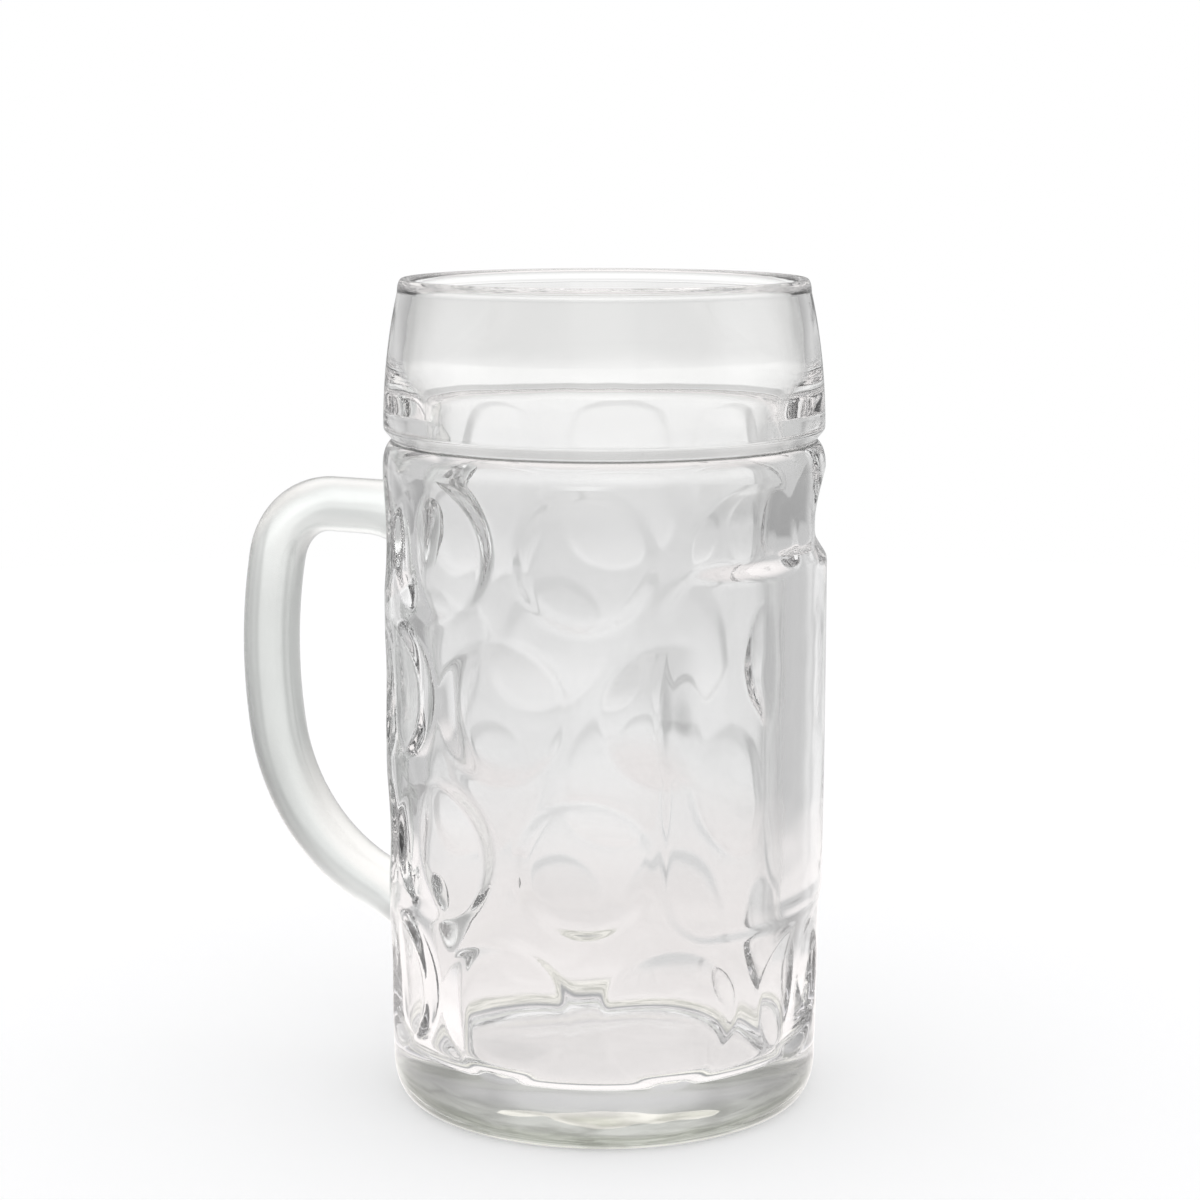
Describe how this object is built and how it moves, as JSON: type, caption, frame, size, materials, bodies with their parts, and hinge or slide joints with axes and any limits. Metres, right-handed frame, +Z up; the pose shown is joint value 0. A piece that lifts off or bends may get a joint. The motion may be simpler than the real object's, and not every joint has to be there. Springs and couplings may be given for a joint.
{
  "type": "dimpled glass beer mug",
  "caption": "Thick glass drinking mug with rows of round pressed dimples, a plain raised field, a grooved neck, a plain collar and a solid glass handle.",
  "frame": {"origin": "the mug's axis in the plane of the standing ring", "axes": "+Z up along the mug's axis, handle towards -X, plain raised field towards +X"},
  "size_m": [0.1584, 0.1066, 0.2],
  "materials": {
    "pressed_glass": "clear pressed soda-lime glass, fire polished",
    "handle_glass": "clear solid soda-lime glass, fire polished"
  },
  "bodies": {
    "root": {"base": "pressed_glass", "dimpled_wall": "pressed_glass", "label_panel": "pressed_glass", "neck_ring": "pressed_glass", "collar": "pressed_glass", "rim_lip": "pressed_glass", "upper_root": "handle_glass", "top_bar": "handle_glass", "upper_bend": "handle_glass", "grip": "handle_glass", "lower_sweep": "handle_glass", "lower_root": "handle_glass"}
  },
  "joints": []
}
